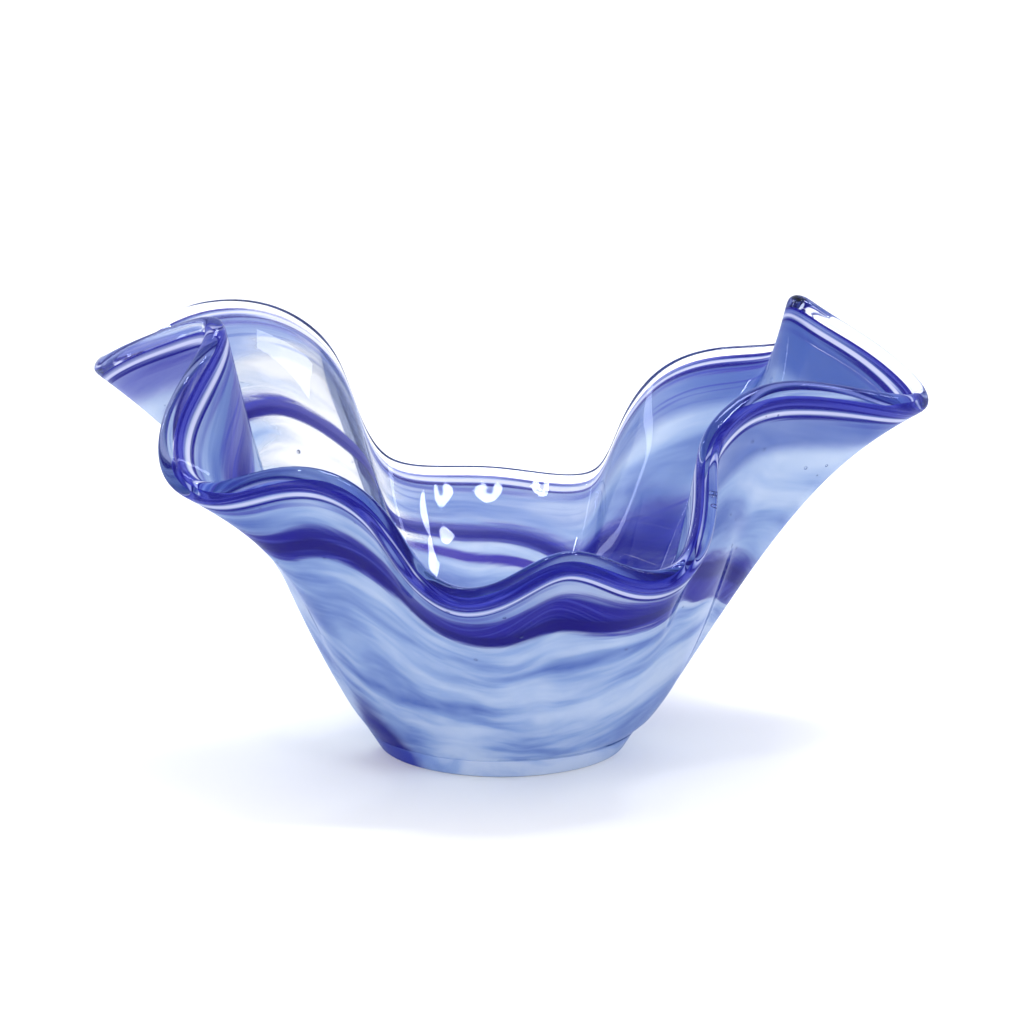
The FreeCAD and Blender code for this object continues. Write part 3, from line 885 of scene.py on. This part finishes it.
def pad_profile():
    """Radius and height from the middle of the pontil hollow to the top of the side."""
    side_top = WALL_RADIUS + FOOT_WALL / 2
    profile = []
    for share in np.linspace(0.1, 1, 10):
        profile.append((PONTIL_RADIUS * share, PONTIL_DEPTH * (1 - share * share)))
    profile.append(((PONTIL_RADIUS + FOOT_RADIUS) / 2, 0.0))
    slope = Vector((side_top - FOOT_RADIUS, PAD_HEIGHT)).normalized()
    for share in np.linspace(0, 1, 7):
        rest = 1 - share
        radius = FOOT_RADIUS + HEEL_RADIUS * (share * share * slope.x - rest * rest)
        profile.append((radius, HEEL_RADIUS * share * share * slope.y))
    for share in np.linspace(0.3, 1, 6):
        profile.append((FOOT_RADIUS + (side_top - FOOT_RADIUS) * share, (PAD_HEIGHT - GAP) * share))
    return profile


def core_profile():
    """Radius and height of the opal inside the pad."""
    top = WALL_RADIUS + COLOUR_WALL / 2
    foot = FOOT_RADIUS - CORE_INSET
    profile = [(foot * share, CORE_FOOT) for share in np.linspace(CORE_HOLE, 1, 6)]
    profile += [(foot + (top - foot) * share, CORE_FOOT + (CORE_TOP - CORE_FOOT) * share)
                for share in np.linspace(0.1, 1, 6)]
    return profile


def turned_mesh(name, profile, middle, top, top_kind, materials):
    """A turned solid with its flat ends closed at middle and top."""
    rows, paints = turned_rows(profile)
    last = len(rows) - 1
    caps = ((0, (0, 0, middle), SKIN), (last, (0, 0, top), top_kind))
    mesh = build_mesh(name, rows, paints, [SKIN] * last, False, caps)
    for material in materials:
        mesh.materials.append(material)
    return mesh


def join_meshes(name, first, second):
    """Both meshes as one object."""
    first_object = bpy.data.objects.new(name, first)
    bpy.context.scene.collection.objects.link(first_object)
    second_object = bpy.data.objects.new(name + "_core", second)
    bpy.context.scene.collection.objects.link(second_object)
    with bpy.context.temp_override(active_object=first_object, object=first_object,
                                   selected_editable_objects=[first_object, second_object]):
        bpy.ops.object.join()
    return first_object


def build_foot_pad():
    pad_top = PAD_HEIGHT - GAP
    pad = turned_mesh("foot_pad", pad_profile(), PONTIL_DEPTH, pad_top, FUSED, [clear_skin, fused])
    core_middle = PONTIL_DEPTH + CORE_FOOT
    core = turned_mesh("foot_core", core_profile(), core_middle, CORE_TOP, SKIN, [make_core("foot_pad")])
    foot = join_meshes("glass_foot_pad", pad, core)
    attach(foot, "root")
    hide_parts("foot_pad")


for ring, low, high, count in RINGS:
    build_ring(ring, ring_edges[low] + edge_gap, ring_edges[high] - edge_gap, count)
build_casing()
build_gather()
build_lip()
build_foot_pad()
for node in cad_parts.values():
    node.hide_render = True
    node.hide_viewport = True


# ---------------------------------------------------------------- studio
AIM = (0.0, 0.0, 0.070)
FLOOR_HALF_WIDTH = 20.0
FLOOR_DROP = 0.0002     # keeps the floor's face clear of the foot
# name, place, width, height, power in watts; every softbox faces the bowl
SOFTBOXES = [
    ("overhead_strip", (0.29, -0.04, 1.00), 0.08, 0.12, 0.9),
    ("overhead_left", (-0.44, 0.19, 0.86), 0.06, 0.08, 0.5),
    ("overhead_line", (0.0, 0.42, 0.98), 0.38, 0.17, 2.8),
    ("side_right", (0.63, 0.44, 0.70), 0.09, 0.30, 0.5),
    ("side_left", (-0.78, 0.50, 0.48), 0.06, 0.40, 0.35),
]
RING_PLACE = (0.13, -0.02, 1.00)
RING_HOLE = 0.010
RING_REACH = 0.032
RING_STRENGTH = 34.0
RING_SIDES = 48
RING_OPENING = range(8, 17)     # sides left out, towards +Y


def add_stage_mesh(name, points, faces, place, kind, **settings):
    """A stage piece with one plain shader."""
    mesh = bpy.data.meshes.new(name)
    mesh.from_pydata(points, [], faces)
    piece = bpy.data.objects.new(name, mesh)
    bpy.context.scene.collection.objects.link(piece)
    piece.location = place
    material, n = new_material(name)
    n.finish(n.shader(kind, **settings))
    mesh.materials.append(material)


def add_floor():
    w = FLOOR_HALF_WIDTH
    corners = [(-w, -w, 0.0), (w, -w, 0.0), (w, w, 0.0), (-w, w, 0.0)]
    place = (0.0, 0.0, -FLOOR_DROP)
    add_stage_mesh("floor", corners, [(0, 1, 2, 3)], place, "ShaderNodeBsdfDiffuse", Color=rgb(0.9, 0.9, 0.9))


def add_ring_light():
    """A flat ring lamp that faces down, open on one side."""
    points = []
    for radius in (RING_HOLE, RING_REACH):
        for step in range(RING_SIDES):
            turn = 2 * math.pi * step / RING_SIDES
            points.append((radius * math.cos(turn), radius * math.sin(turn), 0.0))
    faces = []
    for step in range(RING_SIDES):
        after = (step + 1) % RING_SIDES
        if step not in RING_OPENING:
            faces.append((step, after, RING_SIDES + after, RING_SIDES + step))
    add_stage_mesh("overhead_ring", points, faces, RING_PLACE, "ShaderNodeEmission", Strength=RING_STRENGTH)


def add_softbox(name, place, width, height, power):
    light = bpy.data.lights.new(name, "AREA")
    light.shape = "RECTANGLE"
    light.size = width
    light.size_y = height
    light.energy = power
    lamp = bpy.data.objects.new(name, light)
    bpy.context.scene.collection.objects.link(lamp)
    lamp.location = place
    lamp.rotation_euler = (Vector(AIM) - Vector(place)).to_track_quat("-Z", "Y").to_euler()


def make_world():
    """White all round, a little brighter towards the horizon."""
    world = bpy.data.worlds.new("studio")
    world.use_nodes = True
    world.node_tree.nodes.clear()
    n = Nodes(world.node_tree)
    place = n.add("ShaderNodeTexCoord")
    split = n.add("ShaderNodeSeparateXYZ")
    n.join(place.outputs["Generated"], split.inputs[0])
    strength = n.ease(split.outputs[2], 0.25, 0.9, 1.15, 1.0)
    background = n.shader("ShaderNodeBackground", Color=WHITE, Strength=strength)
    n.finish(background, "ShaderNodeOutputWorld")
    bpy.context.scene.world = world


add_floor()
make_world()
add_ring_light()
for softbox in SOFTBOXES:
    add_softbox(*softbox)

# ---------------------------------------------------------------- camera
CAMERA_DISTANCE = 1.300
CAMERA_ELEVATION = math.radians(14)
camera_data = bpy.data.cameras.new("camera")
camera_data.lens = 135.6
camera_data.sensor_width = 36.0
camera_data.shift_x = 0.0098
camera_data.shift_y = 0.0293
camera = bpy.data.objects.new("camera", camera_data)
bpy.context.scene.collection.objects.link(camera)
camera.location = (0.0, -CAMERA_DISTANCE * math.cos(CAMERA_ELEVATION),
                   AIM[2] + CAMERA_DISTANCE * math.sin(CAMERA_ELEVATION))
camera.rotation_euler = (Vector(AIM) - camera.location).to_track_quat("-Z", "Y").to_euler()
bpy.context.scene.camera = camera

scene = bpy.context.scene
scene.view_settings.view_transform = "Standard"
scene.view_settings.look = "Medium High Contrast"
scene.cycles.max_bounces = 16
scene.cycles.diffuse_bounces = 4
scene.cycles.glossy_bounces = 6
scene.cycles.transmission_bounces = 14
scene.cycles.transparent_max_bounces = 48
scene.cycles.caustics_reflective = False
scene.cycles.caustics_refractive = False
